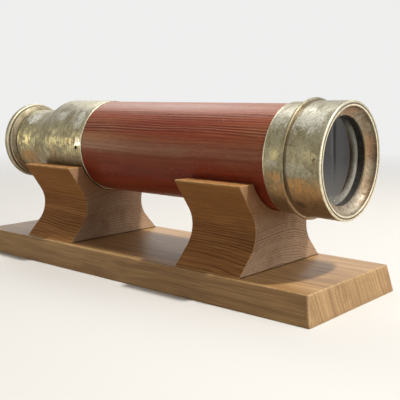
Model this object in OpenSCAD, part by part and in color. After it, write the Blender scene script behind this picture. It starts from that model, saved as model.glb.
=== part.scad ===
// Brass and mahogany spyglass of three draws, lying closed in its fitted wooden stand.
// The tube's axis runs along X, with the object glass at +X. The base stands on Z = 0.

/* [Base] */
// Length of the base at its foot
base_len = 283.2; // [260:0.1:300]
// How far the base's top reaches past the blocks' feet on each side
base_margin = 2.6; // [2:0.1:8]
// Thickness of the base
base_h = 15.9; // [13:0.1:20]
// How far each end of the base leans in from foot to top
base_lean_len = 3.4; // [2:0.1:5]
// How far each long side of the base leans in from foot to top
base_lean_wid = 2.9; // [2:0.1:5]

/* [Cradles] */
// Thickness of each cradle block along the tube
cradle_thick = 46.4; // [40:0.1:50]
// Height of each cradle block
cradle_h = 50; // [46:0.1:54]
// Width of a cradle block across its top
cradle_top_w = 82.8; // [76:0.1:86]
// Width of a cradle block at its foot
cradle_foot_w = 81; // [74:0.1:84]
// Width of a cradle block at its waist
cradle_waist_w = 51.3; // [46:0.1:56]
// Radius of the scooped sides at the waist
waist_r = 17; // [14:0.1:18]
// Height of the waist above the base
waist_h = 22.4; // [20:0.1:25]
// Length of bare wood that shows ahead of the front block
front_block_gap = 7.1; // [4:0.1:12]
// Distance of the rear block behind the end of the bare wood
rear_block_gap = 0.4; // [0.4:0.1:4]
// How much larger in radius the round cut is than the brass collar it carries
cut_ease = 1.1; // [0.6:0.1:3]
// Bevel along the long edges of the blocks
cradle_bevel = 0.6; // [0.3:0.1:1]

/* [Stand screws] */
// Diameter of the screw's shank
screw_d = 4.8; // [4:0.1:5.5]
// Diameter of the screw's head
screw_head_d = 9; // [8:0.1:10]
// Depth of the screw's head below the underside
screw_sink = 0.6; // [0.3:0.1:1.2]
// Reach of the screw into the block
screw_reach = 20; // [14:0.5:24]
// Distance between the two screws of one block
screw_spread = 28; // [22:0.5:32]
// Diameter of the screw's blunt tip
screw_tip_d = 1; // [0.6:0.1:1.6]
// Width and depth of the screwdriver slot
screw_slot = 1; // [0.8:0.1:1.4]

/* [Wooden barrel] */
// Height of the tube's axis above the base
axis_lift = 62.9; // [60:0.1:66]
// Diameter of the wooden barrel
barrel_d = 60; // [56:0.1:63]
// Length of wood that shows between the brass ends
barrel_len = 147.1; // [135:0.1:155]
// Place along the tube where the bare wood starts
wood_start = -46.3; // [-50:0.1:-42]
// How much smaller in radius the wood is under the brass
spigot_step = 1; // [0.7:0.1:1.4]
// Length of wood under the front ferrule
front_spigot_len = 9.4; // [7:0.1:10]

/* [Liner] */
// Wall of the wooden barrel round the liner tube
wood_wall = 4.55; // [4:0.05:5.4]
// Wall of the liner tube
liner_wall = 1; // [0.8:0.05:1.2]

/* [Front ferrule] */
// Step in radius from the wood up to the ferrule
ferrule_step = 1; // [0.7:0.1:1.5]
// Length of the ferrule
ferrule_len = 12.2; // [11:0.1:14]
// Length of the threaded nose that the hood screws on
nose_len = 3.5; // [3:0.1:4.2]
// Radius of the nose below the ferrule's own
nose_step = 1.8; // [1.5:0.1:2.2]

/* [Objective hood] */
// Step in radius from the wood to the hood beside the bead
hood_step = 1.6; // [1.3:0.1:2.2]
// Growth of the hood's radius up to its rim
hood_flare = 0.4; // [0.1:0.05:0.6]
// Wall of the hood at its rim
hood_wall = 1.55; // [1.3:0.05:2]
// Height of the bead above the hood
bead_proud = 1.8; // [1:0.1:2.5]
// Width of the bead
bead_w = 2; // [1.4:0.1:2.8]
// Width of the cell's flat rim round the mouth
cell_rim_w = 1.4; // [1:0.1:2]
// Distance of the lock screw from the rim
lock_back = 3.6; // [3:0.1:4.5]
// Diameter of the lock screw
lock_d = 1.9; // [1.4:0.1:2.4]
// How deep the lock screw sits below the brass
lock_sink = 0.35; // [0.3:0.05:0.6]
// Reach of the lock screw into the cell
lock_reach = 1.6; // [1:0.1:1.8]
// Angle of the lock screw round the tube, from +Y over the top
lock_angle = 175.6; // [170:0.1:190]

/* [Object glass] */
// Diameter of the throat at the foot of the bowl
throat_d = 48.4; // [46:0.1:49]
// Width of the ledge that holds the blackened ring
cell_ledge = 0.8; // [0.6:0.1:1.2]
// Thickness of the lip round the throat
lip_t = 0.8; // [0.5:0.1:1.2]
// Depth of the blackened ring before the lens
black_ring_len = 3.6; // [3:0.1:4.4]
// Edge thickness of the crown lens
crown_edge = 2.4; // [2:0.1:3]
// Radius of the crown lens's front face
crown_front_r = 260; // [200:1:400]
// Radius of the face that crown and flint share
crown_back_r = 190; // [160:1:260]
// Edge thickness of the flint lens
flint_edge = 4.6; // [4:0.1:5.4]
// Thickness of the spacer ring between the lenses
spacer_t = 0.3; // [0.2:0.05:0.5]
// Width of the spacer ring
spacer_w = 1.2; // [0.8:0.1:1.4]
// Width of the retaining ring
lens_ring_w = 2; // [1.5:0.1:2.5]
// Thickness of the retaining ring
retainer_t = 1.5; // [1.2:0.1:2]
// Space between the liner's end and the retaining ring
retainer_gap = 1.65; // [1:0.05:4]

/* [Rear collar] */
// Step in radius from the wood up to the rear collar
collar_step = 0.6; // [0.4:0.05:1.2]
// Length of the straight part of the collar
collar_len = 39.8; // [36:0.1:44]
// Length of the bell that narrows to the neck
bell_len = 30.4; // [26:0.1:34]
// Length of the straight neck
neck_len = 11.8; // [9:0.1:15]
// Wall of the neck round its bearing sleeve
neck_wall = 1.62; // [1.3:0.01:2.6]
// Depth of the bell's solid end ahead of its edge
bell_wall = 3; // [2.5:0.1:4]
// Depth of the liner's seat behind the bell's edge
liner_seat = 4; // [3:0.1:5]
// Distance of the collar screws from the wood
collar_screw_back = 5.1; // [4:0.1:7]
// Diameter of the collar screws
collar_screw_d = 1.9; // [1.5:0.1:2.3]
// How deep the collar screws sit below the brass
collar_screw_sink = 0.6; // [0.3:0.1:0.8]
// Length of the collar screws
collar_screw_len = 3.6; // [3:0.1:4.2]

/* [Small screws] */
// Width of the slots in the lock screw and the collar screws, as a share of the screw's diameter
slot_share = 0.25; // [0.15:0.05:0.3]

/* [Draws] */
// Outer diameter of the outer draw tube
draw_d = 40; // [39:0.1:40.6]
// Step in radius from one draw tube to the next
draw_pitch = 3; // [2.8:0.1:3.2]
// Wall of the draw tubes
draw_wall = 0.75; // [0.6:0.05:0.9]
// Free length between the outer draw's end and the object glass
draw_clear = 32.5; // [20:0.5:50]
// How much shorter each draw ends than the one round it
draw_short = 8; // [6:0.5:12]
// Length of the guide ring at the front of each draw
guide_len = 8; // [6:0.5:12]
// Length of the bearing sleeve inside each draw
bearing_len = 30; // [24:0.5:36]
// Wall of the bearing sleeve in the neck
neck_sleeve_wall = 1.35; // [1.1:0.05:1.4]
// Thickness of the flange on the neck's bearing sleeve
sleeve_flange_t = 2.2; // [1.5:0.1:3]

/* [Draw collars] */
// Height of the outer draw's collar above the neck
outer_collar_proud = 2.7; // [2:0.1:4]
// Thickness of the outer draw's collar
outer_collar_t = 4.1; // [3.4:0.1:5]
// Width of the groove at the front of the outer draw's collar
collar_groove_w = 0.6; // [0.4:0.1:0.9]
// Depth of that groove below the neck
collar_groove_d = 1.2; // [0.8:0.1:1.6]
// Diameter of the middle draw's collar
middle_collar_d = 44; // [42:0.1:46]
// Thickness of the middle draw's collar
middle_collar_t = 2.3; // [1.8:0.1:2.6]

/* [Eyepiece] */
// Diameter of the eyepiece cap
cap_d = 55.2; // [53:0.1:58]
// Thickness of the cap's rim
cap_rim_t = 3.7; // [3.2:0.1:4.2]
// Rounding of the rim's front edge
cap_round = 1; // [0.6:0.1:1.3]
// Thickness of the cap's web
cap_web_t = 2.6; // [2.2:0.1:3.2]
// Diameter of the cap's hub
cap_hub_d = 40; // [38:0.1:44]
// Depth of the dish that the shutter lies in
dish_depth = 1.5; // [1.3:0.1:1.8]
// Diameter of the eye hole
eye_hole_d = 8; // [6:0.1:9]
// Wall of the cap's sleeve
cap_sleeve_wall = 1; // [0.8:0.05:1.2]
// Length of the cap's sleeve
cap_sleeve_len = 11.6; // [8:0.1:16]
// Wall of the eyepiece tube and of the erector tube
lens_tube_wall = 0.8; // [0.7:0.05:1]
// Length of the eyepiece tube
eyepiece_len = 45; // [38:0.5:55]
// Space between the cap's web and the eyepiece tube
eyepiece_gap = 0.6; // [0.4:0.1:0.9]
// Length of the erector tube
erector_len = 76; // [60:0.5:90]
// Thickness of the erector tube's flange
erector_flange_t = 1.2; // [0.8:0.1:1.8]

/* [Small lenses] */
// Edge thickness of the small lenses
small_edge = 2; // [1.5:0.1:2.4]
// Radius of the faces of the small lenses
small_face_r = 42; // [36:1:60]
// Height of the ledge that each small lens rests on
small_ledge = 0.8; // [0.6:0.1:1]
// Thickness of the ledges and stops
ledge_t = 1; // [0.8:0.1:1.3]
// Thickness of the rings that hold the small lenses
small_ring_t = 1.2; // [1:0.1:1.5]
// Diameter of the hole in the field stop
field_stop_d = 13; // [8:0.5:16]
// Diameter of the hole in the erector stop
erector_stop_d = 5; // [3:0.5:8]

/* [Dust shutter] */
// Radius of the shutter's disc
shutter_r = 5.6; // [5:0.1:5.8]
// Distance of the shutter's pivot from the eye hole
shutter_arm = 9.5; // [9:0.1:10]
// Thickness of the shutter
shutter_t = 0.9; // [0.6:0.05:1]
// Radius of the shutter's ear round its pivot
shutter_ear_r = 2.8; // [2.4:0.1:3.2]
// How far the shutter swings aside, in degrees
shutter_swing = 66; // [60:1:70]
// Space between the swung shutter and the dish's side
dish_play = 0.75; // [0.4:0.05:1.2]
// Half width of the shutter's neck as a share of the radius at each end
shutter_neck = 0.8; // [0.6:0.05:0.9]
// Diameter of the pivot's shank
rivet_d = 2; // [1.6:0.1:2.4]
// Diameter of the pivot's head
rivet_head_d = 3.8; // [3.2:0.1:4.2]
// Height of the pivot's head
rivet_head_t = 0.7; // [0.5:0.1:0.8]
// Depth of the pivot's shank in the cap
rivet_seat = 1.8; // [1.2:0.1:2]
// Diameter of the thumb pin on the shutter
thumb_pin_d = 1.8; // [1.4:0.1:2.2]
// Height of the thumb pin
thumb_pin_h = 1.3; // [0.8:0.1:1.5]

/* [Fits] */
// Space between the tube and the wood that it lies on
seat_gap = 0.3; // [0.2:0.05:0.4]
// Space between the closed draws' collars
draw_gap = 0.3; // [0.2:0.05:0.4]
// Radial play of a draw tube in its bearing
slide_fit = 0.08; // [0.05:0.01:0.1]
// Radial play of a fixed piece in its seat
seat_fit = 0.05; // [0.03:0.01:0.08]
// Radial play of a guide ring in the tube round it
guide_fit = 0.3; // [0.2:0.05:0.4]
// Play round the shutter's pivot and under the shutter
shutter_fit = 0.08; // [0.05:0.01:0.1]
// Bevel on the rims of the brass
edge_break = 0.3; // [0.2:0.05:0.4]

/* [Hidden] */

// Fineness of large and small round forms, and of very flat arcs
big_fn = 128;
small_fn = 48;
lens_fn = 720;
// Overshoot of a cutting shape past the face that it opens
over = 1;
// Screws spaced evenly round the rear collar
collar_screw_count = 3;

// Width of the base at its foot
base_wid = cradle_foot_w + 2*base_margin + 2*base_lean_wid;

// Heights
axis_z = base_h + axis_lift;
cradle_top = base_h + cradle_h;

// Radii, from the wood outwards and inwards
barrel_r = barrel_d/2;
spigot_r = barrel_r - spigot_step;
socket_r = spigot_r + seat_fit;
ferrule_r = barrel_r + ferrule_step;
nose_r = ferrule_r - nose_step;
hood_back_r = barrel_r + hood_step;
hood_rim_r = hood_back_r + hood_flare;
bead_r = hood_back_r + bead_proud;
hood_bore_r = hood_rim_r - hood_wall;
cell_r = hood_bore_r - seat_fit;
lock_depth = hood_wall + lock_reach;
mouth_r = cell_r - cell_rim_w;
throat_r = throat_d/2;
cell_bore_r = throat_r + cell_ledge;
lens_r = cell_bore_r - seat_fit;
lens_clear_r = lens_r - spacer_w - seat_fit;
collar_r = barrel_r + collar_step;
wood_in_r = barrel_r - wood_wall;
liner_r = wood_in_r - seat_fit;
liner_in_r = liner_r - liner_wall;

// Middles of the two cradle blocks along the tube
front_cradle_x = wood_start + barrel_len - front_block_gap - cradle_thick/2;
rear_cradle_x = wood_start - rear_block_gap - cradle_thick/2;

// Draw tubes, counted 1 to 3 from the outside
function tube_r(n) = draw_d/2 - draw_pitch*(n - 1);
function tube_in_r(n) = tube_r(n) - draw_wall;
function bearing_r(n) = tube_r(n) + slide_fit;
neck_sleeve_r = bearing_r(1) + neck_sleeve_wall;
neck_bore_r = neck_sleeve_r + seat_fit;
neck_r = neck_bore_r + neck_wall;
cap_sleeve_r = tube_in_r(3) - seat_fit;
eyepiece_tube_r = cap_sleeve_r - cap_sleeve_wall - seat_fit;
erector_tube_r = tube_in_r(3) - seat_fit;

// Places along the tube, towards the front
barrel_front = wood_start + barrel_len;
spigot_front = barrel_front + front_spigot_len;
ferrule_front = barrel_front + ferrule_len;
nose_front = ferrule_front + nose_len;
retainer_back = nose_front + retainer_gap;
flint_back = retainer_back + retainer_t;
flint_front = flint_back + flint_edge;
crown_back = flint_front + spacer_t;
crown_front = crown_back + crown_edge;
black_front = crown_front + black_ring_len;
lip_x = black_front + lip_t;
bowl_r = mouth_r - throat_r;
rim_x = lip_x + bowl_r + edge_break;

// Places along the tube, towards the rear
collar_back = wood_start - collar_len;
bell_back = collar_back - bell_len;
neck_back = bell_back - neck_len;
socket_back = collar_back + bell_wall;
liner_back = collar_back - liner_seat;
sleeve_front = liner_back + sleeve_flange_t;
outer_collar_front = neck_back - draw_gap;
outer_collar_back = outer_collar_front - outer_collar_t;
middle_collar_front = outer_collar_back - draw_gap;
middle_collar_back = middle_collar_front - middle_collar_t;
cap_front = middle_collar_front;
cap_recess = middle_collar_back - draw_gap;
cap_rim_back = cap_front - cap_rim_t;
dish_floor = cap_recess - cap_web_t;
cap_back = dish_floor - dish_depth;

// Dish wide enough for the shutter at either end of its swing
swung_off = shutter_arm*norm([sin(shutter_swing), 1 - cos(shutter_swing)]);
dish_r = swung_off + shutter_r + dish_play;

// Front end of a draw tube, and rear face of its guide ring
function tube_front(n) = nose_front - draw_clear - draw_short*(n - 1);
function guide_back(n) = tube_front(n) - guide_len;

// Places of the lens tubes inside the inner draw
eyepiece_back = cap_recess + eyepiece_gap;
eyepiece_front = eyepiece_back + eyepiece_len;
erector_front = tube_front(3);
erector_back = erector_front - erector_len;

// A form turned about the tube's axis, drawn as radius and place along the tube
module turned() {
    translate([0, 0, axis_z]) rotate([0, 90, 0]) rotate_extrude($fn = big_fn) children();
}

// Outline of a plain ring from x0 to x1
module ring_outline(x0, x1, r_out, r_in) {
    translate([r_in, x0]) square([r_out - r_in, x1 - x0]);
}

// Outline of a ring with both outer edges bevelled
module bevelled_outline(x0, x1, r_out, r_in, bevel = edge_break) {
    polygon([
        [r_in, x0], [r_out - bevel, x0], [r_out, x0 + bevel],
        [r_out, x1 - bevel], [r_out - bevel, x1], [r_in, x1]
    ]);
}

module ring(x0, x1, r_out, r_in) {
    turned() ring_outline(x0, x1, r_out, r_in);
}

// Height of a spherical face of radius face_r over a disc of radius r
function rise(face_r, r) = face_r - sqrt(face_r*face_r - r*r);

// A lens with both faces bulging inside the radius clear_r, and a flat rim round them
module bulging_lens(x0, x1, r, clear_r, back_r, front_r) {
    back_end = x0 - rise(back_r, clear_r);
    front_end = x1 + rise(front_r, clear_r);
    turned() union() {
        ring_outline(x0, x1, r, 0);
        intersection() {
            ring_outline(back_end, front_end, clear_r, 0);
            translate([0, back_end + back_r]) circle(r = back_r, $fn = lens_fn);
            translate([0, front_end - front_r]) circle(r = front_r, $fn = lens_fn);
        }
    }
}

// A lens with a flat back, and a front that is hollow inside the radius clear_r
module hollow_lens(x0, x1, r, clear_r, front_r) {
    turned() difference() {
        ring_outline(x0, x1, r, 0);
        translate([0, x1 - rise(front_r, clear_r) + front_r]) circle(r = front_r, $fn = lens_fn);
    }
}

// Shapes are placed round the tube by the angle from +Y towards +Z
module round_tube(x, angle) {
    translate([x, 0, axis_z]) rotate([angle, 0, 0]) rotate([-90, 0, 0]) children();
}

// Stand

// Side view of the base: a plank that narrows upwards
module base_side(foot, lean) {
    polygon([[-foot/2, 0], [foot/2, 0], [foot/2 - lean, base_h], [-foot/2 + lean, base_h]]);
}

// Places of the screws that hold the blocks
module screw_places() {
    for (x = [front_cradle_x, rear_cradle_x])
        for (side = [-1, 1])
            translate([x, side*screw_spread/2, 0]) children();
}

// Countersunk wood screw standing head down, grown all round by play
module wood_screw(play) {
    head_r = screw_head_d/2 + play;
    shank_r = screw_d/2 + play;
    cone_h = (screw_head_d - screw_d)/2;
    tip_h = screw_d/2;
    tip_z = base_h + screw_reach;
    translate([0, 0, screw_sink]) cylinder(h = cone_h, r1 = head_r, r2 = shank_r, $fn = small_fn);
    translate([0, 0, screw_sink]) cylinder(h = tip_z - tip_h - screw_sink, r = shank_r, $fn = small_fn);
    translate([0, 0, tip_z - tip_h])
        cylinder(h = tip_h, r1 = shank_r, r2 = screw_tip_d/2 + play, $fn = small_fn);
}

module base_plank() {
    color("peru") difference() {
        intersection() {
            translate([0, base_wid/2 + over, 0]) rotate([90, 0, 0])
                linear_extrude(base_wid + 2*over) base_side(base_len, base_lean_len);
            translate([-base_len/2 - over, 0, 0]) rotate([90, 0, 90])
                linear_extrude(base_len + 2*over) base_side(base_wid, base_lean_wid);
        }
        screw_places() {
            wood_screw(seat_fit);
            translate([0, 0, -over])
                cylinder(h = over + screw_sink, d = screw_head_d + 2*seat_fit, $fn = small_fn);
        }
    }
}

// Hollow of one side: an arc at the waist, with straight tangents up and down to the corners
module scoop(side) {
    scoop_y = cradle_waist_w/2 + waist_r;
    scoop_z = base_h + waist_h;
    top = [cradle_top_w/2, cradle_top];
    foot = [cradle_foot_w/2, base_h];
    centre = [scoop_y, scoop_z];
    // Point where the straight line from a corner touches the arc
    function touch(corner, turn) =
        let (d = corner - centre, away = norm(d), swing = turn*acos(waist_r/away), lead = atan2(d[1], d[0]))
        centre + waist_r*[cos(lead + swing), sin(lead + swing)];
    far = cradle_top_w;
    mirror([side < 0 ? 1 : 0, 0]) {
        translate(centre) circle(r = waist_r, $fn = big_fn);
        polygon([top, touch(top, 1), centre, touch(foot, -1), foot, [far, base_h], [far, cradle_top]]);
    }
}

// End view of a cradle block for a tube of the given radius
module cradle_outline(seat_r) {
    cut_r = collar_r + seat_gap + cut_ease;
    cut_z = axis_z - seat_r - seat_gap + cut_r;
    half_top = cradle_top_w/2;
    half_foot = cradle_foot_w/2;
    widest = max(half_top, half_foot);
    difference() {
        polygon([
            [-half_foot, base_h], [half_foot, base_h],
            [widest, base_h + cradle_h/2], [half_top, cradle_top - cradle_bevel],
            [half_top - cradle_bevel, cradle_top], [cradle_bevel - half_top, cradle_top],
            [-half_top, cradle_top - cradle_bevel], [-widest, base_h + cradle_h/2]
        ]);
        for (side = [-1, 1]) scoop(side);
        translate([0, cut_z]) circle(r = cut_r, $fn = big_fn);
    }
}

module cradle(x, seat_r) {
    color("sienna") difference() {
        translate([x - cradle_thick/2, 0, 0]) rotate([90, 0, 90])
            linear_extrude(cradle_thick) cradle_outline(seat_r);
        screw_places() wood_screw(seat_fit);
    }
}

module front_cradle() { cradle(front_cradle_x, barrel_r); }
module rear_cradle() { cradle(rear_cradle_x, collar_r); }

module cradle_screws() {
    color("darkgoldenrod") screw_places() difference() {
        wood_screw(0);
        translate([-screw_head_d, -screw_slot/2, screw_sink - over])
            cube([2*screw_head_d, screw_slot, over + screw_slot]);
    }
}

// Body of the spyglass

module barrel() {
    color("firebrick") difference() {
        turned() union() {
            ring_outline(wood_start, barrel_front, barrel_r, wood_in_r);
            ring_outline(socket_back, spigot_front, spigot_r, wood_in_r);
        }
        collar_screw_holes();
    }
}

module liner_tube() {
    color("goldenrod") ring(liner_back, nose_front, liner_r, liner_in_r);
}

module front_ferrule() {
    color("darkkhaki") turned() difference() {
        union() {
            bevelled_outline(barrel_front, ferrule_front, ferrule_r, wood_in_r);
            ring_outline(ferrule_front, nose_front, nose_r, wood_in_r);
        }
        ring_outline(barrel_front - over, spigot_front, socket_r, 0);
    }
}

// The lock screw goes through the hood's side into the cell, a little above its middle
module lock_screw_place() {
    round_tube(rim_x - lock_back, lock_angle) children();
}

module objective_hood() {
    color("darkkhaki") difference() {
        turned() difference() {
            union() {
                polygon([
                    [nose_r, ferrule_front], [hood_back_r, ferrule_front],
                    [hood_back_r, ferrule_front + bead_w], [hood_rim_r, rim_x - edge_break],
                    [hood_rim_r - edge_break, rim_x], [hood_bore_r + edge_break, rim_x],
                    [hood_bore_r, rim_x - edge_break], [nose_r, rim_x - edge_break]
                ]);
                ring_outline(ferrule_front, ferrule_front + bead_w, bead_r - bead_w/2, nose_r);
                translate([bead_r - bead_w/2, ferrule_front + bead_w/2]) circle(d = bead_w, $fn = small_fn);
            }
            ring_outline(ferrule_front - over, nose_front + over, nose_r + seat_fit, 0);
            ring_outline(nose_front, rim_x + over, hood_bore_r, 0);
        }
        lock_screw_place() translate([0, 0, hood_bore_r - over])
            cylinder(h = hood_wall + 2*over, d = lock_d + 2*seat_fit, $fn = small_fn);
    }
}

module objective_cell() {
    color("rosybrown") difference() {
        turned() difference() {
            polygon([
                [throat_r, nose_front], [cell_r, nose_front], [cell_r, rim_x - edge_break],
                [cell_r - edge_break, rim_x], [mouth_r + edge_break, rim_x], [mouth_r, rim_x - edge_break],
                [throat_r, rim_x - edge_break]
            ]);
            translate([throat_r, rim_x - edge_break]) circle(r = bowl_r, $fn = big_fn);
            ring_outline(nose_front - over, black_front, cell_bore_r, 0);
        }
        lock_screw_place() translate([0, 0, hood_rim_r - lock_depth])
            cylinder(h = lock_depth, d = lock_d + 2*seat_fit, $fn = small_fn);
    }
}

module cell_lock_screw() {
    slot = lock_d*slot_share;
    color("saddlebrown") lock_screw_place() difference() {
        translate([0, 0, hood_rim_r - lock_depth])
            cylinder(h = lock_depth - lock_sink, d = lock_d, $fn = small_fn);
        translate([-lock_d, -slot/2, hood_rim_r - 2*lock_sink])
            cube([2*lock_d, slot, lock_sink + over]);
    }
}

module black_ring() {
    color("dimgray") ring(crown_front, black_front, lens_r, throat_r - edge_break/2);
}

module crown_lens() {
    color("lightsteelblue", 0.5)
        bulging_lens(crown_back, crown_front, lens_r, lens_clear_r, crown_back_r, crown_front_r);
}

module lens_spacer() {
    color("silver") ring(flint_front, crown_back, lens_r, lens_r - spacer_w);
}

module flint_lens() {
    color("lightcyan", 0.5) hollow_lens(flint_back, flint_front, lens_r, lens_clear_r, crown_back_r);
}

module lens_retainer() {
    color("dimgray") ring(retainer_back, flint_back, lens_r, lens_r - lens_ring_w);
}

// Screws through the collar into the wood, one of them towards -Y
module collar_screw_places() {
    for (i = [1:collar_screw_count])
        round_tube(wood_start - collar_screw_back, 180 + 360*i/collar_screw_count) children();
}

module collar_screw_holes() {
    collar_screw_places() translate([0, 0, collar_r - collar_screw_sink - collar_screw_len])
        cylinder(h = collar_screw_len + 2*over, d = collar_screw_d + 2*seat_fit, $fn = small_fn);
}

module rear_collar() {
    bell_drop = collar_r - neck_r;
    bell_r = (bell_len*bell_len + bell_drop*bell_drop)/(2*bell_drop);
    color("darkkhaki") difference() {
        turned() difference() {
            bevelled_outline(neck_back, wood_start, collar_r, bearing_r(1));
            translate([neck_r, neck_back - over]) square([collar_r, neck_len + over]);
            translate([neck_r + bell_r, bell_back]) circle(r = bell_r, $fn = lens_fn);
            // Bevel at the end of the neck
            polygon([
                [neck_r - edge_break, neck_back - over], [neck_r - edge_break, neck_back],
                [neck_r, neck_back + edge_break], [collar_r, neck_back + edge_break],
                [collar_r, neck_back - over]
            ]);
            ring_outline(socket_back, wood_start + over, socket_r, 0);
            ring_outline(liner_back, wood_start + over, wood_in_r, 0);
            ring_outline(neck_back - over, wood_start + over, neck_bore_r, 0);
        }
        collar_screw_holes();
    }
}

module collar_screws() {
    slot = collar_screw_d*slot_share;
    color("saddlebrown") collar_screw_places() difference() {
        translate([0, 0, collar_r - collar_screw_sink - collar_screw_len])
            cylinder(h = collar_screw_len, d = collar_screw_d, $fn = small_fn);
        translate([-collar_screw_d, -slot/2, collar_r - collar_screw_sink - slot])
            cube([2*collar_screw_d, slot, slot + over]);
    }
}

module neck_bearing() {
    color("gold") turned() union() {
        ring_outline(neck_back + edge_break, sleeve_front, neck_sleeve_r, bearing_r(1));
        ring_outline(liner_back, sleeve_front, liner_in_r - seat_fit, bearing_r(1));
    }
}

// Draws

module draw_tube(n, back) {
    color("khaki") ring(back, tube_front(n), tube_r(n), tube_in_r(n));
}

// Ring at the front of a draw that rides inside the tube round it
module draw_guide(n, outside_r) {
    color("gold") turned()
        bevelled_outline(guide_back(n), tube_front(n), outside_r - guide_fit, tube_r(n) + seat_fit);
}

module outer_draw_tube() { draw_tube(1, outer_collar_front); }
module outer_draw_guide() { draw_guide(1, liner_in_r); }
module middle_draw_tube() { draw_tube(2, middle_collar_front); }
module middle_draw_guide() { draw_guide(2, tube_in_r(1)); }
module inner_draw_tube() { draw_tube(3, cap_recess); }
module inner_draw_guide() { draw_guide(3, tube_in_r(2)); }

module outer_draw_collar() {
    rim_r = neck_r + outer_collar_proud;
    groove_back = outer_collar_front - collar_groove_w;
    groove_r = neck_r - collar_groove_d;
    small_bead = collar_groove_w;
    sleeve_r = tube_in_r(1) - seat_fit;
    sleeve_end = outer_collar_front + bearing_len;
    color("darkkhaki") turned() union() {
        polygon([
            [bearing_r(2), outer_collar_back], [rim_r - edge_break, outer_collar_back],
            [rim_r, outer_collar_back + edge_break], [rim_r, outer_collar_back + 2*edge_break],
            [rim_r - edge_break, outer_collar_back + 3*edge_break], [neck_r, groove_back - small_bead],
            [neck_r - small_bead/2, groove_back], [groove_r, groove_back],
            [groove_r, outer_collar_front], [sleeve_r, outer_collar_front],
            [sleeve_r, sleeve_end], [bearing_r(2), sleeve_end]
        ]);
        translate([neck_r - small_bead/2, groove_back - small_bead]) circle(r = small_bead, $fn = small_fn);
    }
}

module middle_draw_collar() {
    color("darkkhaki") turned() union() {
        ring_outline(middle_collar_back, middle_collar_front + bearing_len,
            tube_in_r(2) - seat_fit, bearing_r(3));
        bevelled_outline(middle_collar_back, middle_collar_front, middle_collar_d/2, bearing_r(3));
    }
}

// Eyepiece

module eyepiece_cap() {
    cap_r = cap_d/2;
    recess_r = middle_collar_d/2 + draw_gap;
    color("darkkhaki") difference() {
        turned() difference() {
            union() {
                ring_outline(cap_rim_back, cap_front - cap_round, cap_r - edge_break, 0);
                ring_outline(cap_rim_back + edge_break, cap_front - cap_round, cap_r, 0);
                ring_outline(cap_rim_back, cap_front, cap_r - cap_round, 0);
                translate([cap_r - cap_round, cap_front - cap_round]) circle(r = cap_round, $fn = small_fn);
                translate([cap_r - edge_break, cap_rim_back + edge_break])
                    circle(r = edge_break, $fn = small_fn);
                bevelled_outline(cap_back, cap_rim_back + over, cap_hub_d/2, 0);
            }
            ring_outline(cap_recess, cap_front + over, recess_r, 0);
            ring_outline(cap_back - over, dish_floor, dish_r, 0);
            ring_outline(cap_back - over, cap_front + over, eye_hole_d/2, 0);
        }
        shutter_place() translate([0, 0, -over])
            cylinder(h = rivet_seat + over, d = rivet_d + 2*seat_fit, $fn = small_fn);
    }
    color("darkkhaki")
        ring(cap_recess, cap_recess + cap_sleeve_len, cap_sleeve_r, cap_sleeve_r - cap_sleeve_wall);
}

// A tube that holds a lens near each end, each resting on a ledge inside the tube
module lens_tube(x0, x1, r) {
    in_r = r - lens_tube_wall;
    back_ledge = x0 + small_ring_t + small_edge;
    front_ledge = x1 - small_ring_t - small_edge;
    turned() union() {
        ring_outline(x0, x1, r, in_r);
        ring_outline(back_ledge, back_ledge + ledge_t, in_r, in_r - small_ledge);
        ring_outline(front_ledge - ledge_t, front_ledge, in_r, in_r - small_ledge);
    }
}

// A small lens whose edge starts at x0, in such a tube
module small_lens(x0, r) {
    edge_r = r - lens_tube_wall - seat_fit;
    bulging_lens(x0, x0 + small_edge, edge_r, edge_r - small_ledge - seat_fit, small_face_r, small_face_r);
}

module back_lens(x0, r) { small_lens(x0 + small_ring_t, r); }
module front_lens(x1, r) { small_lens(x1 - small_ring_t - small_edge, r); }

module end_rings(x0, x1, r) {
    in_r = r - lens_tube_wall - seat_fit;
    ring(x0, x0 + small_ring_t, in_r, in_r - small_ledge);
    ring(x1 - small_ring_t, x1, in_r, in_r - small_ledge);
}

// Flat stop with a hole, midway in such a tube
module stop_disc(x0, x1, r, hole_d) {
    middle = (x0 + x1)/2;
    ring(middle - ledge_t/2, middle + ledge_t/2, r - lens_tube_wall - seat_fit, hole_d/2);
}

module eyepiece_tube() { color("dimgray") lens_tube(eyepiece_back, eyepiece_front, eyepiece_tube_r); }
module eye_lens() { color("lightcyan", 0.5) back_lens(eyepiece_back, eyepiece_tube_r); }
module field_lens() { color("lightcyan", 0.5) front_lens(eyepiece_front, eyepiece_tube_r); }
module eyepiece_rings() { color("gold") end_rings(eyepiece_back, eyepiece_front, eyepiece_tube_r); }

module field_stop() {
    color("dimgray") stop_disc(eyepiece_back, eyepiece_front, eyepiece_tube_r, field_stop_d);
}

module erector_tube() {
    color("gold") {
        lens_tube(erector_back, erector_front, erector_tube_r);
        ring(erector_front, erector_front + erector_flange_t, tube_r(3), erector_tube_r - lens_tube_wall);
    }
}

module erector_front_lens() { color("lightcyan", 0.5) front_lens(erector_front, erector_tube_r); }
module erector_rear_lens() { color("lightcyan", 0.5) back_lens(erector_back, erector_tube_r); }
module erector_rings() { color("gold") end_rings(erector_back, erector_front, erector_tube_r); }

module erector_stop() {
    color("dimgray") stop_disc(erector_back, erector_front, erector_tube_r, erector_stop_d);
}

// Dust shutter: a disc that swings aside in the cap's dish

// The pivot above the eye hole, with Z pointing into the cap
module shutter_place() {
    translate([dish_floor, 0, axis_z + shutter_arm]) rotate([0, 90, 0]) children();
}

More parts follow.
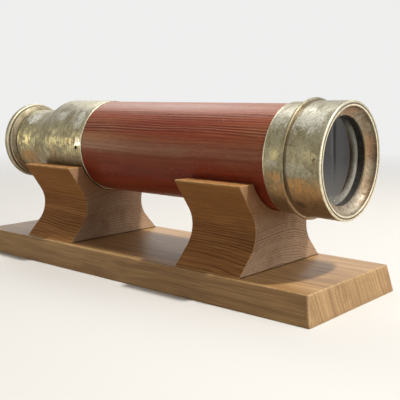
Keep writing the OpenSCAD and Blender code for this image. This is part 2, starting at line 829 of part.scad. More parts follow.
module shutter_pivot() {
    head_gap = shutter_t + 2*shutter_fit;
    color("goldenrod") shutter_place() {
        translate([0, 0, -head_gap]) cylinder(h = head_gap + rivet_seat, d = rivet_d, $fn = small_fn);
        translate([0, 0, -head_gap - rivet_head_t])
            cylinder(h = rivet_head_t, d1 = rivet_head_d - 2*edge_break, d2 = rivet_head_d, $fn = small_fn);
    }
}

// Disc and ear joined by a neck that widens towards the disc
module shutter_outline() {
    ear_half = shutter_ear_r*shutter_neck;
    disc_half = shutter_r*shutter_neck;
    circle(r = shutter_ear_r, $fn = small_fn);
    translate([shutter_arm, 0]) circle(r = shutter_r, $fn = big_fn);
    polygon([[0, -ear_half], [shutter_arm, -disc_half], [shutter_arm, disc_half], [0, ear_half]]);
}

module dust_shutter() {
    pin_out = shutter_arm + shutter_r/2;
    color("burlywood") shutter_place() {
        translate([0, 0, -shutter_fit - shutter_t]) difference() {
            linear_extrude(shutter_t) shutter_outline();
            translate([0, 0, -over])
                cylinder(h = shutter_t + 2*over, d = rivet_d + 2*shutter_fit, $fn = small_fn);
        }
        translate([pin_out, 0, -shutter_fit - shutter_t - thumb_pin_h])
            cylinder(h = thumb_pin_h + shutter_t/2, d = thumb_pin_d, $fn = small_fn);
    }
}

base_plank();
front_cradle();
rear_cradle();
cradle_screws();
barrel();
liner_tube();
front_ferrule();
objective_hood();
objective_cell();
cell_lock_screw();
black_ring();
crown_lens();
lens_spacer();
flint_lens();
lens_retainer();
rear_collar();
collar_screws();
neck_bearing();
outer_draw_tube();
outer_draw_collar();
outer_draw_guide();
middle_draw_tube();
middle_draw_collar();
middle_draw_guide();
inner_draw_tube();
inner_draw_guide();
eyepiece_cap();
eyepiece_tube();
eye_lens();
field_lens();
eyepiece_rings();
field_stop();
erector_tube();
erector_front_lens();
erector_rear_lens();
erector_rings();
erector_stop();
shutter_pivot();
dust_shutter();
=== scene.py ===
# A brass and mahogany spyglass in its wooden stand. Sizes in the dictionaries are in millimetres.
import math
import bpy
import bmesh
from mathutils import Matrix, Vector


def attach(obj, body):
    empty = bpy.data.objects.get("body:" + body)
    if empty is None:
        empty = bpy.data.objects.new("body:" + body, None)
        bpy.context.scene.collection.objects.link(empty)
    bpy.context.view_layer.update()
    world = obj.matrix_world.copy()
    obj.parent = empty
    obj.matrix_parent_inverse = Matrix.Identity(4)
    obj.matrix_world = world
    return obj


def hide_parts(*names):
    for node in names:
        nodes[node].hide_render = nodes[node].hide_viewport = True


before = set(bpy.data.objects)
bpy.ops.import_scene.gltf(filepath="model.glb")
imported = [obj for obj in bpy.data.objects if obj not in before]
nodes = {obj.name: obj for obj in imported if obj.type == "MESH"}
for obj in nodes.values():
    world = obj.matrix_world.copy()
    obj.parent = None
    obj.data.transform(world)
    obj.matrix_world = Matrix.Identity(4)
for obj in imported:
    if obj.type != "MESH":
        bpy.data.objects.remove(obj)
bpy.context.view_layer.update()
mm = 0.001
perMetre = 1000
axisHeight = 78.8  # the tube's axis above the floor
creaseAngle = 38  # degrees: a sharper bend in a mesh stays a hard edge
print("frame loaded:", len(nodes), "nodes")

# camera, from the perspective of the photograph, with its clipping range in metres
viewSettings = {"place": (316.22, -331.79, 112.32), "heading": 130.645, "tilt": -8.35, "roll": 0.129,
                "focal": 63.42, "sensor": 36, "near": 0.01, "far": 20}


def makeCamera(settings):
    data = bpy.data.cameras.new("camera")
    data.sensor_width = settings["sensor"]
    data.lens = settings["focal"]
    data.clip_start = settings["near"]
    data.clip_end = settings["far"]
    camera = bpy.data.objects.new("camera", data)
    turn = Matrix.Rotation(math.radians(settings["heading"] - 90), 4, "Z")
    turn = turn @ Matrix.Rotation(math.radians(90 + settings["tilt"]), 4, "X")
    turn = turn @ Matrix.Rotation(math.radians(settings["roll"]), 4, "Z")
    camera.matrix_world = Matrix.Translation(Vector(settings["place"]) * mm) @ turn
    bpy.context.scene.collection.objects.link(camera)
    bpy.context.scene.camera = camera


makeCamera(viewSettings)
bpy.context.scene.view_settings.view_transform = "Standard"


class Wire:  # one socket of a node tree, which can be used in sums
    def __init__(self, tree, socket=None):
        self.tree = tree
        self.socket = socket

    def node(self, kind, settings=None, inputs=None, out=0):
        made = self.tree.nodes.new("ShaderNode" + kind)
        for name, value in (settings or {}).items():
            setattr(made, name, value)
        for name, value in (inputs or {}).items():
            target = made.inputs[name]
            if isinstance(value, Wire):
                self.tree.links.new(value.socket, target)
            elif isinstance(value, tuple) and target.type == "RGBA":
                target.default_value = (*value, 1)
            else:
                target.default_value = value
        return Wire(self.tree, made.outputs[out] if len(made.outputs) else None)

    def axis(self, index):  # x, y or z of a vector
        return self.node("SeparateXYZ", None, {0: self}, index)

    def reckon(self, operation, *values):
        return self.node("Math", {"operation": operation}, dict(enumerate(values or (self,))))

    def __add__(self, other):
        return self.reckon("ADD", self, other)

    __radd__ = __add__

    def __sub__(self, other):
        return self.reckon("SUBTRACT", self, other)

    def __rsub__(self, other):
        return self.reckon("SUBTRACT", other, self)

    def __mul__(self, other):
        return self.reckon("MULTIPLY", self, other)

    __rmul__ = __mul__

    def __truediv__(self, other):
        return self.reckon("DIVIDE", self, other)

    def __pow__(self, other):
        return self.reckon("POWER", self, other)

    def between(self, low, high, start=0.0, end=1.0):  # soft step from start to end
        return self.node("MapRange", {"interpolation_type": "SMOOTHSTEP"},
                         {"Value": self, "From Min": low, "From Max": high, "To Min": start, "To Max": end})

    def coloured(self, low, high):  # low where this is 0, high where it is 1
        return self.node("Mix", {"data_type": "RGBA"}, {0: self, 6: low, 7: high}, 2)


def startFinish(name):
    finish = bpy.data.materials.new(name)
    finish.use_nodes = True
    finish.node_tree.nodes.clear()
    return finish, Wire(finish.node_tree)


def endFinish(start, inputs):
    shade = start.node("BsdfPrincipled", None, inputs)
    start.node("OutputMaterial", None, {"Surface": shade})


def position(start):  # place on the piece in millimetres, with the height taken from the tube's axis
    spot = start.node("TexCoord", None, None, "Object")
    return spot.axis(0) * perMetre, spot.axis(1) * perMetre, spot.axis(2) * perMetre - axisHeight


def noise(start, x, y, z, detail=3.0, rough=0.5, warp=0.0):
    spot = start.node("CombineXYZ", None, {0: x, 1: y, 2: z})
    inputs = {"Vector": spot, "Scale": 1.0, "Detail": detail, "Roughness": rough, "Distortion": warp}
    return start.node("TexNoise", None, inputs, "Fac")


def bumped(height, strength, depth):
    inputs = {"Height": height, "Strength": strength, "Distance": depth * mm}
    return height.node("Bump", None, inputs, "Normal")


def edges(start):  # 1 on worn outer edges, -1 in inner corners, as the mesh says
    return start.node("Attribute", {"attribute_name": "edge"}, None, "Fac")


def squareTo(start, index):  # 1 on faces that look along an axis
    facing = start.node("TexCoord", None, None, "Normal")
    return facing.axis(index).reckon("ABSOLUTE").between(0.7, 0.95)


def stripe(away, halfWidth):  # 1 on a line, 0 from half its width away
    return (1 - (away / halfWidth) ** 2).between(0.0, 1.0)


def scratches(curl, width, shown):  # 1 on thin lines, where a noise crosses its middle
    return (curl - 0.5).reckon("ABSOLUTE").between(0.0010, width, 1.0, 0.0) * shown


def growthLines(start, x, depth, wood, seed):  # 0 to 1 across each growth layer
    phase = depth / wood["spacing"] + noise(start, x * 0.006, depth * 0.10, seed, 2, 0.5) * wood["wander"]
    return (phase * (2 * math.pi)).reckon("SINE") * 0.5 + 0.5


# wood of the stand: "layers" is the direction across the growth layers and "arch" their bend. The wood is
# paler above the heights in "high", taken from the tube's axis, which the plank doesn't reach
baseWood = {
    "pale": (0.575, 0.355, 0.150), "mid": (0.405, 0.228, 0.087), "dark": (0.190, 0.088, 0.034),
    "worn": (0.66, 0.47, 0.24), "end": (0.50, 0.35, 0.185), "endPaintedLight": 0.45, "layers": (0.010, 0.95, 0.30),
    "arch": 0.0004, "seed": 0.0, "spacing": 3.5, "wander": 2.6, "sideLines": 0.50, "endLines": 0.52,
    "high": (20, 30), "rough": 0.30, "sideRough": 0.35, "gloss": 0.60,
}
blockWood = {
    "pale": (0.500, 0.235, 0.078), "mid": (0.375, 0.162, 0.050), "dark": (0.150, 0.060, 0.022),
    "worn": (0.64, 0.42, 0.18), "end": (0.50, 0.39, 0.285), "endPaintedLight": 0.80, "layers": (0.03, 0.02, 0.99),
    "arch": -0.0045, "seed": 40.0, "spacing": 1.45, "wander": 2.6, "sideLines": 0.88, "endLines": 0.62,
    "high": (-36, -20), "rough": 0.46, "sideRough": 0.20, "gloss": 0.20,
}


def standWood(name, wood):
    finish, start = startFinish(name)
    x, y, z = position(start)
    seed = wood["seed"]
    lx, ly, lz = wood["layers"]
    endGrain = squareTo(start, 0)
    level = squareTo(start, 2)
    strength = wood["sideLines"] + endGrain * (wood["endLines"] - wood["sideLines"])
    sway = noise(start, x * 0.010 + seed, y * 0.022, z * 0.022, 2) * 9
    sway = sway + noise(start, x * 0.03 + seed, y * 0.10, z * 0.10, 2)
    depth = x * lx + y * ly + z * lz - y * y * wood["arch"] + sway
    broad = noise(start, x * 0.006 + seed, depth * 0.13, 1.5, 3, 0.6)
    layer = growthLines(start, x, depth, wood, 4.5 + seed)
    thick = noise(start, x * 0.012 + seed, depth * 0.35, 9.5, 2).between(0.35, 0.62, 0.25, 1.0)
    fibre = noise(start, x * 0.035 + seed, y * 1.5, z * 1.5, 5, 0.68)
    pore = noise(start, x * 0.17 + seed, y * 5.0, z * 5.0, 3, 0.6).between(0.60, 0.70)
    blotch = noise(start, x * 0.022 + seed, y * 0.05, z * 0.05, 5, 0.62)
    colour = broad.between(0.36, 0.62).coloured(wood["mid"], wood["pale"])
    # painted light: faces looking along the length are made paler and greyer, as where more light falls on
    # them
    colour = (endGrain * wood["endPaintedLight"]).coloured(colour, wood["end"])
    colour = (layer.between(0.55, 0.95) * thick * strength).coloured(colour, wood["dark"])
    colour = fibre.between(0.38, 0.58, 0.42, 0.0).coloured(colour, wood["dark"])
    colour = fibre.between(0.54, 0.72, 0.0, 0.35).coloured(colour, wood["worn"])
    colour = blotch.between(0.50, 0.68, 0.0, 0.36).coloured(colour, wood["dark"])
    colour = ((z + blotch * 8).between(*wood["high"]) * 0.4).coloured(colour, wood["pale"])
    colour = (pore * 0.45).coloured(colour, wood["dark"])
    worn = edges(start) * noise(start, x * 0.25, y * 0.25, z * 0.25, 3).between(0.35, 0.6, 0.25, 0.8)
    colour = worn.coloured(colour, wood["worn"])
    rough = wood["rough"] + fibre * 0.20 + (1 - level) * wood["sideRough"]
    relief = bumped(fibre - layer * 0.3 - pore * 0.6, 0.30, 0.12)
    endFinish(start, {"Base Color": colour, "Roughness": rough, "Normal": relief,
                      "Specular IOR Level": wood["gloss"]})
    return finish


# mahogany of the barrel, with two painted sheens: a paler tan band along its side, where a lamp is mirrored,
# at the height and half width of the side band entries, and a pale pinkish top above the heights of the top
# entry. "layers" is the direction across the growth layers, sideways and up. All heights are taken from the
# tube's axis
barrelWood = {
    "red": (0.370, 0.074, 0.030), "deep": (0.290, 0.043, 0.021), "brown": (0.330, 0.108, 0.045),
    "dark": (0.066, 0.011, 0.008), "pale": (0.54, 0.29, 0.17), "tan": (0.66, 0.34, 0.17),
    "crown": (0.56, 0.36, 0.28), "sideSheen": 4.5, "sideSheenWidth": 7.0, "sideSheenEnd": (35, -25), "upper": (8, 14),
    "crownFrom": (21, 29), "layers": (0.90, 0.44), "spacing": 1.6, "wander": 4, "scratch": 0.0026,
    "rough": 0.27, "gloss": 0.14,
}


def mahogany(name, wood):
    finish, start = startFinish(name)
    x, y, z = position(start)
    ly, lz = wood["layers"]
    sway = noise(start, x * 0.007, y * 0.03, z * 0.03, 2) * 5
    sway = sway + noise(start, x * 0.02, y * 0.1, z * 0.1, 2) * 0.5
    depth = y * ly + z * lz + sway
    broad = noise(start, x * 0.004, depth * 0.16, 2.5, 3, 0.6)
    line = growthLines(start, x, depth, wood, 5.5)
    thick = noise(start, x * 0.012, depth * 0.4, 9.5, 2).between(0.38, 0.60, 0.15, 1.0)
    hair = noise(start, x * 0.008, depth * 2.0, z * 0.2, 3, 0.6)
    fine = noise(start, x * 0.16, y * 3.2, z * 3.2, 4, 0.70)
    pore = noise(start, x * 0.25, y * 5.0, z * 5.0, 2).between(0.62, 0.71)
    cloud = noise(start, x * 0.016 + 5, y * 0.045, z * 0.045, 4, 0.6)
    # painted sheen: a tan band along the side, where a lamp is mirrored in the grain
    sideSheen = stripe(z - wood["sideSheen"] + (sway - 2.5) * 1.2, wood["sideSheenWidth"])
    sideSheen = sideSheen * (x + cloud * 40).between(*wood["sideSheenEnd"], 0.25, 1.0)
    above = (z + (broad - 0.5) * 8).between(*wood["upper"])
    # painted sheen: the top of the barrel is made pale pinkish
    crown = (z + (fine - 0.5) * 8).between(*wood["crownFrom"])
    colour = broad.between(0.38, 0.56).coloured(wood["deep"], wood["red"])
    colour = (cloud.between(0.42, 0.62, 0.15, 0.85) * z.between(-14, 2)).coloured(colour, wood["brown"])
    # the painted side sheen, with fine grain showing through it
    colour = (sideSheen * (0.35 + fine * 0.8)).coloured(colour, wood["tan"])
    darkLine = line.between(0.60, 0.92) * thick * (0.26 + above * 0.44)
    paleLine = line.between(0.35, 0.05) * thick * (0.08 + above * 0.36 + sideSheen * 0.40)
    colour = darkLine.coloured(colour, wood["dark"])
    colour = paleLine.coloured(colour, wood["pale"])
    colour = (hair.between(0.42, 0.49, 0.55, 0.0) * (0.35 + above * 0.4)).coloured(colour, wood["dark"])
    colour = (fine.between(0.48, 0.66) * (0.13 + sideSheen * 0.75)).coloured(colour, wood["pale"])
    # the painted top sheen
    colour = (crown * 0.30).coloured(colour, wood["crown"])
    colour = (pore * 0.5).coloured(colour, wood["dark"])
    curl = noise(start, x * 0.055 + z * 0.03, y * 0.06 + x * 0.04, z * 0.07, 2)
    shown = noise(start, x * 0.09, y * 0.09 + 3, z * 0.09, 2).between(0.50, 0.60)
    colour = (scratches(curl, wood["scratch"], shown) * 0.5).coloured(colour, wood["pale"])
    rough = wood["rough"] + fine * 0.14 + cloud * 0.06
    relief = bumped(hair * 0.4 + fine * 0.5 - line * 0.2 - pore * 0.5, 0.28, 0.10)
    endFinish(start, {"Base Color": colour, "Roughness": rough, "Normal": relief,
                      "Specular IOR Level": wood["gloss"]})
    return finish


# turned brass, with light painted in by height: a painted pale sheen on top, where lamps above are mirrored,
# and below it orange-brown that is partly tarnish and partly a painted reflection of the wooden stand, with a
# paler painted reflection at the foot. "upper", "lower" and "under" are the heights between which these looks
# set in; the two band entries give a height and a half width, one for a painted gold highlight and one for a
# painted pale reflection. "spots" lists patches, each with its place, its half length along the tube, its
# half width round it, its colour and its strength. All heights are taken from the tube's axis
agedBrass = {
    "pale": (0.48, 0.455, 0.355), "mid": (0.275, 0.245, 0.150), "olive": (0.205, 0.170, 0.092),
    "belt": (0.335, 0.305, 0.225), "warmTarnishAndReflection": (0.470, 0.240, 0.080), "brown": (0.120, 0.078, 0.045),
    "gold": (0.50, 0.42, 0.20), "edge": (0.90, 0.84, 0.63), "foot": (0.38, 0.290, 0.200),
    "highlightCream": (0.66, 0.64, 0.53), "grey": (0.385, 0.375, 0.300), "rough": 0.30, "turning": 0.5,
    "tarnishAndReflection": 0.65, "glossAndHighlight": 0.25, "streak": 0.45, "scratch": 0.0030, "upper": (10, 26),
    "lower": (-4, -13), "under": (-15, -24), "highlightBand": (2, 12), "reflectionBelt": (-6, 8),
    # the hood's patches: painted highlights in cream and gold, painted reflections in grey and warm orange, a
    # thin brown painted shadow line just behind the bead, a duller olive patch on top of the bead and a brown
    # tarnish smudge
    "spots": [
        ((122.0, -22.0, 22.5), 11.0, 8.0, "highlightCream", 0.9), ((104.5, -20.5, 23.0), 4.5, 7.0, "highlightCream", 0.5),
        ((122.0, -31.5, -4.0), 9.0, 3.5, "grey", 0.45), ((108.4, -30.9, -1.0), 3.5, 2.2, "grey", 0.6),
        ((108.2, -30.8, 3.2), 2.2, 2.5, "gold", 0.6), ((130.3, -31.6, 4.0), 3.5, 3.0, "gold", 0.35),
        ((108.0, -30.2, -7.5), 5.0, 2.6, "warmTarnishAndReflection", 0.6), ((123.0, -29.7, -11.2), 8.0, 4.2, "warmTarnishAndReflection", 0.8),
        ((130.0, -29.0, -14.5), 5.0, 4.5, "warmTarnishAndReflection", 0.6), ((120.7, -22.7, -22.0), 3.5, 2.6, "brown", 0.8),
        ((115.6, -28.6, -13.5), 0.9, 9.0, "brown", 0.8), ((114.0, -24.0, 23.0), 1.6, 13.0, "olive", 0.9),
    ],
}
collarBrass = {
    **agedBrass, "mid": (0.325, 0.285, 0.160), "gold": (0.78, 0.66, 0.31), "highlightCream": (0.74, 0.74, 0.66),
    "whiteHighlight": (0.90, 0.84, 0.63), "edge": (0.60, 0.55, 0.42), "belt": (0.40, 0.35, 0.22),
    "tarnishAndReflection": 0.30, "glossAndHighlight": 0.75, "streak": 0.75,
    # the collar's patches: painted highlights in cream, gold and white, painted reflections in grey and warm
    # orange, and olive tarnish
    "spots": [
        ((-116.0, -15.0, 17.2), 7.5, 4.2, "highlightCream", 0.95), ((-74.0, -22.7, 20.6), 5.5, 3.6, "highlightCream", 0.6),
        ((-54.0, -23.5, 19.5), 4.0, 8.0, "highlightCream", 0.6), ((-65.5, -23.5, 19.5), 3.2, 6.0, "olive", 0.8),
        ((-92.0, -24.0, 14.5), 7.0, 4.0, "olive", 0.6), ((-59.0, -29.0, -9.0), 14.0, 3.0, "grey", 0.8),
        ((-116.0, -22.9, 2.8), 3.5, 3.0, "gold", 0.9), ((-79.0, -30.4, 3.4), 7.0, 2.2, "gold", 0.9),
        ((-61.0, -30.3, 4.2), 6.5, 2.2, "gold", 0.9), ((-50.0, -30.2, 3.6), 3.0, 2.4, "whiteHighlight", 1.0),
        ((-76.2, -30.3, -4.5), 3.0, 6.0, "warmTarnishAndReflection", 0.45), ((-102.0, -24.4, -5.0), 4.0, 4.0, "warmTarnishAndReflection", 0.55),
        ((-114.0, -20.5, -11.0), 10.0, 5.5, "warmTarnishAndReflection", 0.85),
    ],
}
capBrass = {
    **agedBrass, "pale": (0.38, 0.34, 0.245), "mid": (0.305, 0.258, 0.172), "edge": (0.60, 0.55, 0.41),
    "foot": (0.33, 0.24, 0.165), "rough": 0.46, "tarnishAndReflection": 0.4, "glossAndHighlight": 0.1, "spots": [],
}
# inside the hood's bowl: the paler foot and the cream patch low down are painted highlight where the bowl
# faces up; the warm patches are partly tarnish and partly painted reflection
bowlBrass = {
    **agedBrass, "pale": (0.46, 0.41, 0.31), "mid": (0.300, 0.240, 0.160), "olive": (0.190, 0.130, 0.078),
    "belt": (0.27, 0.235, 0.165), "warmTarnishAndReflection": (0.34, 0.165, 0.070), "brown": (0.095, 0.054, 0.032),
    "gold": (0.54, 0.44, 0.28), "foot": (0.44, 0.38, 0.28), "highlightCream": (0.37, 0.345, 0.285), "rough": 0.46,
    "turning": 0.35, "tarnishAndReflection": 0.15, "glossAndHighlight": 0.30, "streak": 0.3,
    "spots": [
        ((133.0, 6.0, -27.0), 5.0, 15.0, "highlightCream", 0.8), ((133.0, 4.0, 27.0), 4.0, 7.0, "warmTarnishAndReflection", 0.6),
        ((133.0, 27.5, 6.0), 4.0, 7.0, "warmTarnishAndReflection", 0.5),
    ],
}


def turnedBrass(name, brass):
    finish, start = startFinish(name)
    x, y, z = position(start)
    cloud = noise(start, x * 0.045, y * 0.045 + 2, z * 0.045, 4, 0.6, 0.4)
    patch = noise(start, x * 0.11 + 7, y * 0.11, z * 0.11, 6, 0.68, 0.6)
    streak = noise(start, x * 0.85, y * 0.11 + 5, z * 0.11, 3, 0.6)
    grit = noise(start, x, y * 0.8, z * 0.8, 5, 0.74)
    fleck = noise(start, x * 0.36 + 3, y * 0.30, z * 0.30, 5, 0.72, 0.5)
    ringing = noise(start, x * 3.2, y * 0.05, z * 0.05, 4, 0.66)
    highlightAt, highlightWidth = brass["highlightBand"]
    reflectionAt, reflectionWidth = brass["reflectionBelt"]
    # painted sheen: the brass is made paler on top, where the lamps above are mirrored
    up = (z + (cloud - 0.5) * 40 + (patch - 0.5) * 24).between(*brass["upper"])
    # below: orange-brown, partly tarnish and partly a painted reflection of the wooden stand; at the foot a
    # paler painted reflection
    low = (z + (patch - 0.5) * 40).between(*brass["lower"])
    foot = (z + (patch - 0.5) * 20).between(*brass["under"])
    colour = (up * 0.80).coloured(brass["mid"], brass["pale"])
    # painted highlight: a gold band round the tube at the height where a low lamp is mirrored; the same band
    # is also made glossier
    glossAndHighlight = stripe(z - highlightAt, highlightWidth) * (fleck * 0.5 + patch * 0.5).between(0.52, 0.40) * brass["glossAndHighlight"]
    colour = glossAndHighlight.coloured(colour, brass["gold"])
    colour = patch.between(0.48, 0.64, 0.0, 0.65).coloured(colour, brass["olive"])
    colour = (low * brass["tarnishAndReflection"] * cloud.between(0.30, 0.5, 0.4, 1.0)).coloured(colour, brass["warmTarnishAndReflection"])
    # painted reflection: a pale belt round the tube just below the middle
    belt = stripe(z - reflectionAt, reflectionWidth) * patch.between(0.50, 0.40)
    colour = (belt * 0.6).coloured(colour, brass["belt"])
    colour = (foot * 0.7 * brass["tarnishAndReflection"]).coloured(colour, brass["foot"])
    ragged = (patch - 0.5) * 5 + (fleck - 0.5) * 3 + (grit - 0.5) * 1.2 + (streak - 0.5) * 1.5
    # spots: painted highlights, painted reflections, a painted shadow line and tarnish, as each finish lists
    # them
    for (px, py, pz), halfLength, halfWidth, key, amount in brass["spots"]:
        away = ((x - px) / halfLength) ** 2 + ((y - py) / halfWidth) ** 2 + ((z - pz) / halfWidth) ** 2
        colour = ((away + ragged).between(1.8, 0.1) * amount).coloured(colour, brass[key])
    colour = (streak.between(0.50, 0.66) * brass["streak"]).coloured(colour, brass["olive"])
    colour = (streak.between(0.46, 0.34) * brass["streak"] * 0.6).coloured(colour, brass["belt"])
    colour = (fleck.between(0.54, 0.68) * 0.5).coloured(colour, brass["brown"])
    colour = fleck.between(0.42, 0.28, 0.0, 0.7).coloured(colour, brass["gold"])
    colour = grit.between(0.47, 0.63, 0.0, 0.42).coloured(colour, brass["brown"])
    curl = noise(start, x * 0.06 + z * 0.02, y * 0.06 + 8, z * 0.06 - x * 0.03, 2)
    shown = noise(start, x * 0.07, y * 0.07, z * 0.07 + 6, 2).between(0.46, 0.56)
    stroke = scratches(curl, brass["scratch"], shown)
    colour = (stroke * 0.6).coloured(colour, brass["brown"])
    wear = edges(start)
    colour = (wear.between(0.1, 0.8) * grit.between(0.66, 0.40, 0.55, 1.0)).coloured(colour, brass["edge"])
    # painted shade: inner corners, such as the foot of the bead, are coloured brown where shade gathers; at
    # the rim's seam the same mark is a dark joint
    colour = wear.between(-0.1, -0.8, 0.0, 0.85).coloured(colour, brass["brown"])
    rough = brass["rough"] + patch.between(0.35, 0.65, 0.0, 0.16) + grit * 0.14
    rough = rough - wear.between(0.1, 0.9, 0.0, 0.1) - glossAndHighlight * 0.12
    relief = bumped(ringing * brass["turning"] + grit * 0.45 + fleck * 0.8 - stroke * 0.4, 0.30, 0.10)
    endFinish(start, {"Base Color": colour, "Roughness": rough, "Normal": relief, "Metallic": 1.0})
    return finish


# drawn tubes: bright outside, blackened inside a radius
drawnBrass = {"bright": (0.66, 0.52, 0.27), "dull": (0.44, 0.33, 0.16), "stain": (0.20, 0.13, 0.06),
              "black": (0.022, 0.02, 0.018), "outerInside": 19.6, "middleInside": 16.6, "innerInside": 13.6}


def slidingBrass(name, brass, insideRadius):
    finish, start = startFinish(name)
    x, y, z = position(start)
    drawn = noise(start, x * 0.02, y * 3.4, z * 3.4, 4, 0.65)
    haze = noise(start, x * 0.05, y * 0.09, z * 0.09, 5, 0.62)
    stain = noise(start, x * 0.3, y * 0.3, z * 0.3, 5, 0.68).between(0.56, 0.68)
    colour = haze.between(0.36, 0.62).coloured(brass["bright"], brass["dull"])
    colour = drawn.between(0.5, 0.75, 0.0, 0.4).coloured(colour, brass["dull"])
    colour = (stain * 0.55).coloured(colour, brass["stain"])
    away = (y * y + z * z) ** 0.5
    inner = away.between(insideRadius + 0.05, insideRadius - 0.05)
    colour = inner.coloured(colour, brass["black"])
    rough = 0.22 + haze * 0.16 + stain * 0.15 + inner * 0.35
    relief = bumped(drawn, 0.2, 0.04)
    endFinish(start, {"Base Color": colour, "Roughness": rough, "Normal": relief, "Metallic": 1 - inner})
    return finish


blackened = {"black": (0.018, 0.017, 0.016), "grey": (0.05, 0.047, 0.043), "brass": (0.30, 0.22, 0.11),
             "gloss": 0.3}


def blackBrass(name, black):
    finish, start = startFinish(name)
    x, y, z = position(start)
    haze = noise(start, x * 0.3, y * 0.3, z * 0.3, 4, 0.6)
    rubbed = noise(start, x * 1.4, y * 1.4, z * 1.4, 3, 0.6).between(0.66, 0.75)
    colour = haze.between(0.35, 0.65).coloured(black["black"], black["grey"])
    colour = (rubbed * 0.5).coloured(colour, black["brass"])
    endFinish(start, {"Base Color": colour, "Roughness": 0.42 + haze * 0.25, "Metallic": rubbed * 0.6,
                      "Normal": bumped(haze, 0.25, 0.05), "Specular IOR Level": black["gloss"]})
    return finish


screwMetal = {"light": (0.36, 0.27, 0.14), "dark": (0.10, 0.065, 0.035)}
# painted shade: the sunk collar screws are coloured near black for the shade inside their holes
sunkMetalPaintedShade = {"light": (0.060, 0.045, 0.028), "dark": (0.016, 0.012, 0.009)}


def oldScrew(name, metal):
    finish, start = startFinish(name)
    x, y, z = position(start)
    haze = noise(start, x * 1.1, y * 1.1, z * 1.1, 4, 0.65)
    colour = haze.between(0.38, 0.62).coloured(metal["dark"], metal["light"])
    endFinish(start, {"Base Color": colour, "Roughness": 0.36 + haze * 0.3, "Metallic": 1.0,
                      "Normal": bumped(haze, 0.3, 0.05)})
    return finish


# "flatFrom" is how squarely a face has to look along the tube to mirror as flat glass does
glass = {"tint": (0.30, 0.305, 0.30), "haze": (0.42, 0.42, 0.40), "dustAndReflection": (0.48, 0.47, 0.41),
         "mirrorTint": (1.0, 0.94, 0.92), "index": 1.62, "flatFrom": (0.75, 0.85), "clearRadius": 16.5,
         "radius": 24.0, "dustMost": 0.85}


def lensGlass(name, lens):
    finish, start = startFinish(name)
    x, y, z = position(start)
    haze = noise(start, x * 0.2, y * 0.2, z * 0.2, 4, 0.6)
    # the coated faces mirror the room as flat glass does
    facing = start.node("NewGeometry", None, None, "Normal")
    along = facing.axis(0)
    plain = start.node("CombineXYZ", None, {0: along.reckon("SIGN"), 1: 0.0, 2: 0.0})
    flat = along.reckon("ABSOLUTE").between(*lens["flatFrom"])
    mirror = start.node("Mix", {"data_type": "VECTOR"}, {0: flat, 4: facing, 5: plain}, 1)
    colour = haze.between(0.45, 0.75, 0.0, 0.5).coloured(lens["tint"], lens["haze"])
    clear = start.node("BsdfPrincipled", None, {
        "Base Color": colour, "Roughness": 0.0, "Specular Tint": lens["mirrorTint"], "Normal": mirror,
        "IOR": lens["index"], "Transmission Weight": 1.0})
    # dust round the edge, most of it low, and a pale film at the +y side which is also a painted reflection:
    # a crescent of the bowl's pale wall mirrored at the lens's edge
    away = (y * y + z * z) ** 0.5
    speck = noise(start, x, y * 0.9, z * 0.9, 4, 0.75)
    rim = away.between(lens["clearRadius"], lens["radius"])
    side = (y - z * 0.35).between(-2, 22, 0.12, 1.0)
    film = rim * side * speck.between(0.30, 0.60, 0.55, 1.0)
    film = film + rim * z.between(-6, -22) * speck.between(0.50, 0.62, 0.0, 0.5)
    film = film.reckon("MINIMUM", film, lens["dustMost"])
    dustAndReflection = start.node("BsdfPrincipled", None, {"Base Color": lens["dustAndReflection"], "Roughness": 0.9})
    both = start.node("MixShader", None, {0: film, 1: clear, 2: dustAndReflection})
    start.node("OutputMaterial", None, {"Surface": both})
    return finish


finishes = {
    "baseWood": standWood("baseWood", baseWood),
    "blockWood": standWood("blockWood", blockWood),
    "mahogany": mahogany("mahogany", barrelWood),
    "agedBrass": turnedBrass("agedBrass", agedBrass),
    "collarBrass": turnedBrass("collarBrass", collarBrass),
    "capBrass": turnedBrass("capBrass", capBrass),
    "bowlBrass": turnedBrass("bowlBrass", bowlBrass),
    "outerDraw": slidingBrass("outerDrawBrass", drawnBrass, drawnBrass["outerInside"]),
    "middleDraw": slidingBrass("middleDrawBrass", drawnBrass, drawnBrass["middleInside"]),
    "innerDraw": slidingBrass("innerDrawBrass", drawnBrass, drawnBrass["innerInside"]),
    "blackBrass": blackBrass("blackBrass", blackened),
    "oldScrew": oldScrew("oldScrew", screwMetal),
    "sunkScrewPaintedShade": oldScrew("sunkScrewPaintedShade", sunkMetalPaintedShade),
    "lensGlass": lensGlass("lensGlass", glass),
}
print("finishes made:", len(finishes))


